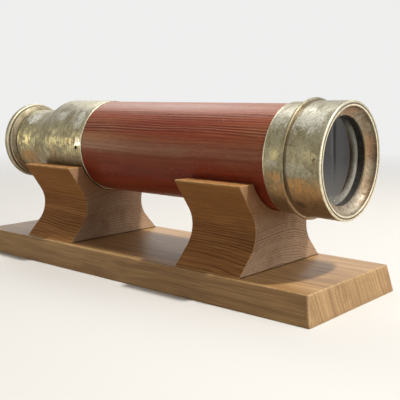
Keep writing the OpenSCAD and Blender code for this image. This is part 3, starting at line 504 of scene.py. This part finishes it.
def softened(outline, steps=5, fade=0.7, cutShare=0.45):
    # outline: closed list of (along, out, rounding[, mark]), where the mark is 1 on an outer corner that
    # wears and -1 in an inner one. Gives (along, out, mark) with the corners rounded, which takes at most
    # cutShare of a side
    count = len(outline)
    area = sum(outline[i - 1][0] * outline[i][1] - outline[i][0] * outline[i - 1][1] for i in range(count))
    points = []
    for i, corner in enumerate(outline):
        here = Vector(corner[:2])
        if not corner[2]:
            points.append((here.x, here.y, corner[3] if len(corner) > 3 else 0.0))
            continue
        back = Vector(outline[i - 1][:2]) - here
        ahead = Vector(outline[(i + 1) % count][:2]) - here
        half = back.angle(ahead) / 2
        cut = min(corner[2] / math.tan(half), cutShare * back.length, cutShare * ahead.length)
        radius = cut * math.tan(half)
        middle = here + (back.normalized() + ahead.normalized()).normalized() * (radius / math.sin(half))
        first = here + back.normalized() * cut - middle
        last = here + ahead.normalized() * cut - middle
        way = 1 if first.x * last.y - first.y * last.x > 0 else -1
        mark = corner[3] if len(corner) > 3 else (1 if way * area > 0 else -1)
        if back.length > 2 * (cut + fade):
            spot = here + back.normalized() * (cut + fade)
            points.append((spot.x, spot.y, 0.0))
        for k in range(steps):
            spot = middle + Matrix.Rotation(way * first.angle(last) * k / (steps - 1), 2) @ first
            points.append((spot.x, spot.y, mark * (0.5 + 0.5 * math.sin(math.pi * k / (steps - 1)))))
        if ahead.length > 2 * (cut + fade):
            spot = here + ahead.normalized() * (cut + fade)
            points.append((spot.x, spot.y, 0.0))
    return points


def named(form, corners):  # corners whose entries are numbers or the names of the form's values
    return [tuple(form.get(entry, entry) for entry in corner) for corner in corners]


def arc(middle, radius, start, end, steps):  # points without rounding, angles in degrees
    spots = []
    for k in range(steps + 1):
        angle = math.radians(start + (end - start) * k / steps)
        spots.append((middle[0] + radius * math.cos(angle), middle[1] + radius * math.sin(angle), 0))
    return spots


def aimed(place, way, axis):  # stands at a place in millimetres, with its axis along way
    turn = Vector(way).to_track_quat(axis, "Y").to_matrix().to_4x4()
    return Matrix.Translation(Vector(place) * mm) @ turn


def linked(name, shape):  # a new object with the mesh of a bmesh
    mesh = bpy.data.meshes.new(name)
    shape.to_mesh(mesh)
    shape.free()
    piece = bpy.data.objects.new(name, mesh)
    bpy.context.scene.collection.objects.link(piece)
    return piece


def smooth(mesh):
    mesh.shade_smooth()
    mesh.set_sharp_from_angle(angle=math.radians(creaseAngle))


def meshPiece(name, rings, closedRow, finish):
    # rings: lists of (x, y, z, edge) with the same number of points. closedRow joins the last to the first
    shape = bmesh.new()
    mark = shape.verts.layers.float.new("edge")
    rows = []
    for ring in rings:
        row = []
        for x, y, z, edge in ring:
            vert = shape.verts.new((x * mm, y * mm, z * mm))
            vert[mark] = edge
            row.append(vert)
        rows.append(row)
    size = len(rows[0])
    for i in range(len(rows) if closedRow else len(rows) - 1):
        low, high = rows[i], rows[(i + 1) % len(rows)]
        for j in range(size):
            shape.faces.new((low[j], low[(j + 1) % size], high[(j + 1) % size], high[j]))
    if not closedRow:
        shape.faces.new(rows[0])
        shape.faces.new(rows[-1])
    bmesh.ops.recalc_face_normals(shape, faces=shape.faces)
    piece = linked(name, shape)
    piece.data.materials.append(finish)
    smooth(piece.data)
    return piece


def turned(name, outline, finish, segments=240):  # turned about the tube's axis
    rings = []
    points = softened(outline)
    for k in range(segments):
        angle = 2 * math.pi * k / segments
        side, up = math.cos(angle), math.sin(angle)
        rings.append([(x, r * side, axisHeight + r * up, edge) for x, r, edge in points])
    return meshPiece(name, rings, True, finish)


def bored(piece, place, direction, radius, depth, flare=0.0):  # cuts a round hole inwards from place
    shape = bmesh.new()
    bmesh.ops.create_cone(shape, cap_ends=True, segments=32, radius1=radius * mm,
                          radius2=(radius + flare) * mm, depth=2 * depth * mm)
    drill = linked("drill", shape)
    drill.matrix_world = aimed(place, direction, "Z")
    cut = piece.modifiers.new("hole", "BOOLEAN")
    cut.operation = "DIFFERENCE"
    cut.solver = "EXACT"
    cut.object = drill
    bpy.context.view_layer.update()
    made = bpy.data.meshes.new_from_object(piece.evaluated_get(bpy.context.evaluated_depsgraph_get()))
    piece.modifiers.clear()
    piece.data = made
    smooth(made)
    bpy.data.objects.remove(drill)


def screwHoles(piece, screw):  # holes that point at the tube's axis
    for degrees in screw["angles"]:
        angle = math.radians(degrees)
        out = (0, math.cos(angle), math.sin(angle))
        place = (screw["along"], screw["surface"] * out[1], axisHeight + screw["surface"] * out[2])
        bored(piece, place, out, screw["radius"], screw["depth"], screw["flare"])


def dress(piece, body, node):
    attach(piece, body)
    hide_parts(node)


plank = {"length": 283.2, "width": 92, "height": 15.9, "leanEnd": 3.4, "leanSide": 2.9, "corner": 1.0,
         "soft": 0.75, "cornerWear": 0.8}
blocks = {
    "frontBlock": {"node": "front_cradle", "from": 47.3, "to": 93.7, "seatRadius": 30.0},
    "rearBlock": {"node": "rear_cradle", "from": -93.1, "to": -46.7, "seatRadius": 30.6},
}
# "fade" is how far the shading of an edge runs on past its rounding, and "plain" where the side starts
blockForm = {"foot": 15.9, "top": 65.9, "halfTop": 41.4, "halfFoot": 40.5, "halfWaist": 25.65,
             "waistHeight": 38.3, "waistRadius": 17, "cutRadius": 32, "seatGap": 0.3, "soft": 0.45,
             "corner": 0.6, "footCorner": 0.15, "fade": 0.8, "plain": 6, "wearDepth": 0.3}
standScrews = {"places": [(70.5, -14), (70.5, 14), (-69.9, -14), (-69.9, 14)], "head": 4.55, "depth": 0.6,
               "shank": 2.45, "cone": 2.1}


def plankLevels(soft, height):  # from below: height, how far the ring stands in, wear of the edge
    levels = [(0, soft, 0), (0.22 * soft, 0.3 * soft, 0.7), (soft, 0, 0)]
    levels += [(height * k / 5, 0, 0) for k in (1, 2, 3, 4)]
    levels += [(height - soft, 0, 0), (height - 0.3 * soft, 0.22 * soft, 1), (height, soft, 0)]
    return levels


def makePlank(form, screws):
    rings = []
    for height, inset, edge in plankLevels(form["soft"], form["height"]):
        share = height / form["height"]
        halfX = form["length"] / 2 - form["leanEnd"] * share - inset
        halfY = form["width"] / 2 - form["leanSide"] * share - inset
        signs = [(1, -1), (1, 1), (-1, 1), (-1, -1)]
        ring = []
        for x, y, mark in softened([(i * halfX, j * halfY, form["corner"]) for i, j in signs]):
            ring.append((x, y, height, max(edge, abs(mark) * form["cornerWear"]) if 0 < share < 1 else edge))
        rings.append(ring)
    piece = meshPiece("base_plank_softened", rings, False, finishes["baseWood"])
    halfCone = screws["cone"] / 2
    flare = screws["head"] - screws["shank"]
    for x, y in screws["places"]:
        bored(piece, (x, y, 0), (0, 0, 1), screws["head"], screws["depth"])
        bored(piece, (x, y, screws["depth"] + halfCone), (0, 0, -1), screws["shank"], halfCone, flare)
    dress(piece, "stand", "base_plank")


def tangentPoint(corner, middle, radius, way):  # where a corner's line touches a circle, in degrees
    away = Vector(corner) - Vector(middle)
    return math.degrees(math.atan2(away.y, away.x) + way * math.acos(radius / away.length))


def blockOutline(form, seatRadius):
    hollow = (form["halfWaist"] + form["waistRadius"], form["waistHeight"])
    upper = tangentPoint((form["halfTop"], form["top"]), hollow, form["waistRadius"], 1)
    lower = tangentPoint((form["halfFoot"], form["foot"]), hollow, form["waistRadius"], -1) % 360
    cutMiddle = axisHeight - seatRadius - form["seatGap"] + form["cutRadius"]
    lip = math.degrees(math.asin((form["top"] - cutMiddle) / form["cutRadius"]))
    scoop = arc(hollow, form["waistRadius"], lower, upper, 28)
    right = named(form, [("halfFoot", "foot", "footCorner"), *scoop, ("halfTop", "top", "corner")])
    seat = arc((0, cutMiddle), form["cutRadius"], lip, -180 - lip, 48)
    for end in (0, -1):
        seat[end] = (*seat[end][:2], form["corner"])
    left = [(-y, z, soft) for y, z, soft in reversed(right)]
    return softened(right + seat + left)


def inwardWays(points):  # into a closed outline, one unit vector at each point
    ways = []
    for i in range(len(points)):
        run = Vector(points[(i + 1) % len(points)][:2]) - Vector(points[i - 1][:2])
        ways.append(Vector((-run.y, run.x)).normalized())
    return ways


def makeBlock(name, place, form):
    points = blockOutline(form, place["seatRadius"])
    inward = inwardWays(points)
    soft = form["soft"]
    eased = []  # from the end: distance, how far the ring stands in, wear of the edge
    for k in range(5):
        turn = math.pi / 2 * k / 4
        eased.append((soft * (1 - math.cos(turn)), soft * (1 - math.sin(turn)), math.sin(2 * turn)))
    eased += [(soft + form["fade"], 0, 0), (form["plain"], 0, 0)]
    rings = []
    for end, way, steps in ((place["from"], 1, eased), (place["to"], -1, eased[::-1])):
        for fromEnd, inset, edge in steps:
            ring = []
            for (y, z, mark), inwards in zip(points, inward):
                height = max(z + inwards.y * inset, form["foot"])
                wear = max(edge, mark) if inset < form["wearDepth"] else edge
                ring.append((end + way * fromEnd, y + inwards.x * inset, height, wear))
            rings.append(ring)
    piece = meshPiece(name, rings, False, finishes["blockWood"])
    dress(piece, "stand", place["node"])


makePlank(plank, standScrews)
for name, place in blocks.items():
    makeBlock(name, place, blockForm)
print("stand made")


barrel = {"from": -46.3, "to": 100.8, "radius": 30.0, "bore": 25.45, "spigotRadius": 29.0,
          "spigotFrom": -83.1, "spigotTo": 110.2, "soft": 0.25}
ferrule = {"from": 100.8, "to": 113.0, "nose": 116.5, "radius": 31.0, "noseRadius": 29.2, "bore": 25.45,
           "socket": 29.05, "socketTo": 110.2, "soft": 0.4}
hood = {"from": 113.0, "beadTo": 115.0, "beadRadius": 33.4, "backRadius": 31.6, "rimRadius": 32.0,
        "rim": 136.45, "lipRadius": 30.9, "bore": 30.45, "nose": 116.5, "noseRadius": 29.25, "soft": 0.45}
lockScrew = {"along": 132.85, "angles": [175.6], "radius": 1.0, "surface": 31.9, "depth": 2.5, "flare": 0.0}
cell = {"from": 116.5, "rim": 136.45, "radius": 30.4, "lipRadius": 29.9, "mouthEdge": 29.15, "mouth": 29.0,
        "throat": 24.2, "lip": 131.35, "lipBack": 130.55, "bore": 25.0, "soft": 0.3}
collar = {"front": -46.3, "crease": -86.1, "bellEnd": -116.5, "back": -128.3, "radius": 30.6, "neck": 23.1,
          "bore": 20.08, "socket": 29.05, "socketBack": -83.1, "liner": 25.45, "linerBack": -90.1,
          "soft": 0.4}
collarScrews = {"along": -51.4, "angles": [180, 300, 60], "radius": 1.0, "surface": collar["radius"],
                "depth": 2.2, "flare": 0.6}


def makeBarrel(form):
    outline = named(form, [
        ("from", "radius", "soft"), ("from", "spigotRadius", 0), ("spigotFrom", "spigotRadius", 0),
        ("spigotFrom", "bore", 0), ("spigotTo", "bore", 0), ("spigotTo", "spigotRadius", 0),
        ("to", "spigotRadius", 0), ("to", "radius", "soft")])
    dress(turned("barrel_softened", outline, finishes["mahogany"]), "spyglass", "barrel")


def makeFerrule(form):
    outline = named(form, [
        ("from", "radius", "soft"), ("from", "socket", 0), ("socketTo", "socket", 0), ("socketTo", "bore", 0),
        ("nose", "bore", 0), ("nose", "noseRadius", 0), ("to", "noseRadius", 0), ("to", "radius", "soft")])
    piece = turned("front_ferrule_softened", outline, finishes["agedBrass"])
    dress(piece, "spyglass", "front_ferrule")


def makeHood(form):
    bead = (form["beadTo"] - form["from"]) / 2
    beadArc = arc((form["from"] + bead, form["beadRadius"] - bead), bead, 180, 0, 14)
    outline = named(form, [
        ("from", "noseRadius", 0), *beadArc, ("beadTo", "backRadius", 0.35), ("rim", "rimRadius", "soft"),
        ("rim", "lipRadius", 0, 0.7), ("rim", "bore", 0.25, -1), ("nose", "bore", 0),
        ("nose", "noseRadius", 0)])
    piece = turned("objective_hood_softened", outline, finishes["agedBrass"])
    screwHoles(piece, lockScrew)
    dress(piece, "spyglass", "objective_hood")


def makeCell(form):
    curve = form["mouth"] - form["throat"]
    bowl = arc((form["lip"] + curve, form["throat"]), curve, 90, 180, 20)
    outline = named(form, [
        ("from", "radius", 0), ("from", "bore", 0), ("lipBack", "bore", 0), ("lipBack", "throat", 0),
        *bowl[::-1], ("rim", "mouthEdge", 0.2), ("rim", "lipRadius", 0, 0.7), ("rim", "radius", "soft", -1)])
    piece = turned("objective_cell_softened", outline, finishes["bowlBrass"])
    dress(piece, "spyglass", "objective_cell")


def makeCollar(form):
    drop = form["radius"] - form["neck"]
    length = form["crease"] - form["bellEnd"]
    bell = (length * length + drop * drop) / (2 * drop)
    top = math.degrees(math.acos(length / bell))
    curve = arc((form["bellEnd"], form["neck"] + bell), bell, -top, -90, 30)
    outline = named(form, [
        ("front", "radius", "soft"), *curve, ("back", "neck", 0.3), ("back", "bore", 0),
        ("linerBack", "bore", 0), ("linerBack", "liner", 0), ("socketBack", "liner", 0),
        ("socketBack", "socket", 0), ("front", "socket", 0)])
    piece = turned("rear_collar_softened", outline, finishes["collarBrass"])
    screwHoles(piece, collarScrews)
    dress(piece, "spyglass", "rear_collar")


makeBarrel(barrel)
makeFerrule(ferrule)
makeHood(hood)
makeCell(cell)
makeCollar(collar)
print("body made")


ridge = {"front": -128.6, "groove": -129.2, "flare": -131.8, "rimFront": -132.25, "back": -132.7,
         "neck": 23.1, "bead": 0.6, "grooveRadius": 21.9, "flareRadius": 25.55, "rim": 25.8,
         "backRadius": 25.5, "bore": 17.08, "sleeve": 19.2, "sleeveFront": -98.6, "soft": 0.25}
cap = {"front": -133.0, "recess": -135.6, "rimBack": -136.7, "dish": -138.2, "back": -139.7, "radius": 27.6,
       "recessRadius": 22.3, "hub": 20.0, "dishRadius": 16.7, "eye": 4.0, "sleeve": 15.6, "sleeveBore": 14.6,
       "sleeveFront": -124.0, "soft": 0.9}


def makeRidge(form):
    bead = form["bead"]
    beadArc = arc((form["groove"] - bead, form["neck"] - bead / 2), bead, 0, 120, 6)
    outline = named(form, [
        ("front", "sleeve", 0), ("front", "grooveRadius", 0.1), ("groove", "grooveRadius", 0.15), *beadArc,
        ("flare", "flareRadius", 0.15), ("rimFront", "rim", "soft"), ("back", "backRadius", 0.1),
        ("back", "bore", 0), ("sleeveFront", "bore", 0), ("sleeveFront", "sleeve", 0)])
    piece = turned("outer_draw_collar_softened", outline, finishes["capBrass"])
    dress(piece, "outer_draw", "outer_draw_collar")


def makeCap(form):
    outline = named(form, [
        ("rimBack", "radius", 0.35), ("front", "radius", "soft"), ("front", "recessRadius", 0.2),
        ("recess", "recessRadius", 0.1), ("recess", "sleeve", 0), ("sleeveFront", "sleeve", 0.2),
        ("sleeveFront", "sleeveBore", 0.2), ("recess", "sleeveBore", 0), ("recess", "eye", 0.2),
        ("dish", "eye", 0.3), ("dish", "dishRadius", 0.3), ("back", "dishRadius", 0.4),
        ("back", "hub", 0.5), ("rimBack", "hub", 0.3)])
    piece = turned("eyepiece_cap_softened", outline, finishes["capBrass"])
    dress(piece, "eyepiece_draw", "eyepiece_cap")


makeRidge(ridge)
makeCap(cap)
print("draw collar and cap made")

# the finish of every node's own mesh, also of the nodes that a piece above replaces
kept = {
    "oldScrew": ["cradle_screws", "cell_lock_screw", "shutter_pivot"],
    "sunkScrewPaintedShade": ["collar_screws"],
    "blackBrass": ["liner_tube", "black_ring", "lens_spacer", "lens_retainer", "outer_draw_guide",
                   "middle_draw_guide", "inner_draw_guide", "eyepiece_tube", "field_stop", "erector_tube",
                   "erector_stop", "neck_bearing", "erector_rings", "eyepiece_rings"],
    "lensGlass": ["crown_lens", "flint_lens", "eye_lens", "field_lens", "erector_front_lens",
                  "erector_rear_lens"],
    "outerDraw": ["outer_draw_tube"],
    "middleDraw": ["middle_draw_tube"],
    "innerDraw": ["inner_draw_tube"],
    "agedBrass": ["rear_collar", "front_ferrule", "objective_hood"],
    "capBrass": ["middle_draw_collar", "dust_shutter", "eyepiece_cap", "outer_draw_collar"],
    "bowlBrass": ["objective_cell"],
    "mahogany": ["barrel"],
    "baseWood": ["base_plank"],
    "blockWood": ["front_cradle", "rear_cradle"],
}
for finish, names in kept.items():
    for name in names:
        mesh = nodes[name].data
        mesh.materials.clear()
        mesh.materials.append(finishes[finish])

# the screen, its slit and the pale strip beside the slit are in degrees round the middle of the lens
studio = {"floor": (0.78, 0.78, 0.77), "floorBounce": (0.27, 0.235, 0.19), "floorRadius": 4500,
          "floorFade": (350, 1100), "back": (0.86, 0.86, 0.855), "fill": (1.0, 0.95, 0.88),
          "fillStrength": 0.24, "lens": (128, 0), "screenFrom": 44, "screenTo": 67, "softFrom": 2,
          "softTo": 1.2, "screenShade": 0.36, "slitAt": 60.1, "slitEdge": (0.17, 0.09), "slitShade": 0.34,
          "stripAside": 0.27, "stripEdge": (0.14, 0.07), "stripShare": 0.7}
lamps = {
    "key": {"from": (640, 140, 1200), "at": (20, 0, 60), "size": 90, "power": 15.0,
            "colour": (1.0, 0.96, 0.90)},
    "top": {"from": (-700, 460, 830), "at": (20, 0, 70), "size": 460, "power": 2.6,
            "colour": (1.0, 0.99, 0.97)},
    "left": {"from": (-900, -864, 125), "at": (0, 0, 75), "size": 150, "power": 1.5,
             "colour": (1.0, 0.94, 0.84)},
    "right": {"from": (1150, 260, 420), "at": (60, 0, 50), "size": 800, "power": 6.0,
              "colour": (1.0, 0.96, 0.92)},
}


def seenDirectly(start):  # 1 for what the camera sees, also in metal and through glass
    kinds = ("Is Camera Ray", "Is Glossy Ray", "Is Transmission Ray")
    camera, glossy, through = (start.node("LightPath", None, None, kind) for kind in kinds)
    rays = camera + glossy + through
    return rays.reckon("MINIMUM", rays, 1.0)


def screens(start, x, y):
    # how dark the room before the lens is: a screen with a slit and a pale strip, only in reflections
    angle = start.reckon("ARCTAN2", y, x) * (180 / math.pi)
    screen = angle.between(studio["screenFrom"] - studio["softFrom"], studio["screenFrom"])
    screen = screen * angle.between(studio["screenTo"] + studio["softTo"], studio["screenTo"])
    fromSlit = angle - studio["slitAt"]
    slit = fromSlit.reckon("ABSOLUTE").between(*studio["slitEdge"])
    strip = (fromSlit + studio["stripAside"]).reckon("ABSOLUTE").between(*studio["stripEdge"])
    dark = screen * studio["screenShade"] + slit * studio["slitShade"]
    dark = dark - strip * studio["screenShade"] * studio["stripShare"]
    return start.node("LightPath", None, None, "Is Glossy Ray") * dark


def makeFloor():
    shape = bmesh.new()
    bmesh.ops.create_circle(shape, cap_ends=True, segments=96, radius=studio["floorRadius"] * mm)
    floor = linked("floor", shape)
    finish, start = startFinish("floorPaper")
    x, y = position(start)[:2]
    lensX, lensY = (value * mm for value in studio["lens"])
    away = (x * x + y * y) ** 0.5
    seen = seenDirectly(start)
    colour = seen.coloured(studio["floorBounce"], studio["floor"])
    paper = start.node("BsdfPrincipled", None, {"Base Color": colour, "Roughness": 0.9,
                                               "Specular IOR Level": 0.1})
    bright = start.node("Emission", None, {"Color": studio["back"], "Strength": 1.0})
    dark = start.node("Emission", None, {"Strength": 0.0})
    shade = screens(start, x * mm - lensX, y * mm - lensY)
    far = start.node("MixShader", None, {0: shade, 1: bright, 2: dark})
    both = start.node("MixShader", None, {0: away.between(*studio["floorFade"]) * seen, 1: paper, 2: far})
    start.node("OutputMaterial", None, {"Surface": both})
    floor.data.materials.append(finish)


def makeWorld():
    world = bpy.data.worlds.new("studio")
    bpy.context.scene.world = world
    world.use_nodes = True
    world.node_tree.nodes.clear()
    start = Wire(world.node_tree)
    way = start.node("TexCoord", None, None, "Generated")
    light = start.node("Background", None, {"Color": studio["fill"], "Strength": studio["fillStrength"]})
    bright = start.node("Background", None, {"Color": studio["back"], "Strength": 1.0})
    dark = start.node("Background", None, {"Strength": 0.0})
    back = start.node("MixShader", None, {0: screens(start, way.axis(0), way.axis(1)), 1: bright, 2: dark})
    both = start.node("MixShader", None, {0: seenDirectly(start), 1: light, 2: back})
    start.node("OutputWorld", None, {"Surface": both})


def makeLamps():
    for name, lamp in lamps.items():
        data = bpy.data.lights.new(name, "AREA")
        data.size = lamp["size"] * mm
        data.energy = lamp["power"]
        data.color = lamp["colour"]
        light = bpy.data.objects.new(name, data)
        light.visible_camera = False
        light.matrix_world = aimed(lamp["from"], Vector(lamp["at"]) - Vector(lamp["from"]), "-Z")
        bpy.context.scene.collection.objects.link(light)


makeFloor()
makeWorld()
makeLamps()
print("studio made")
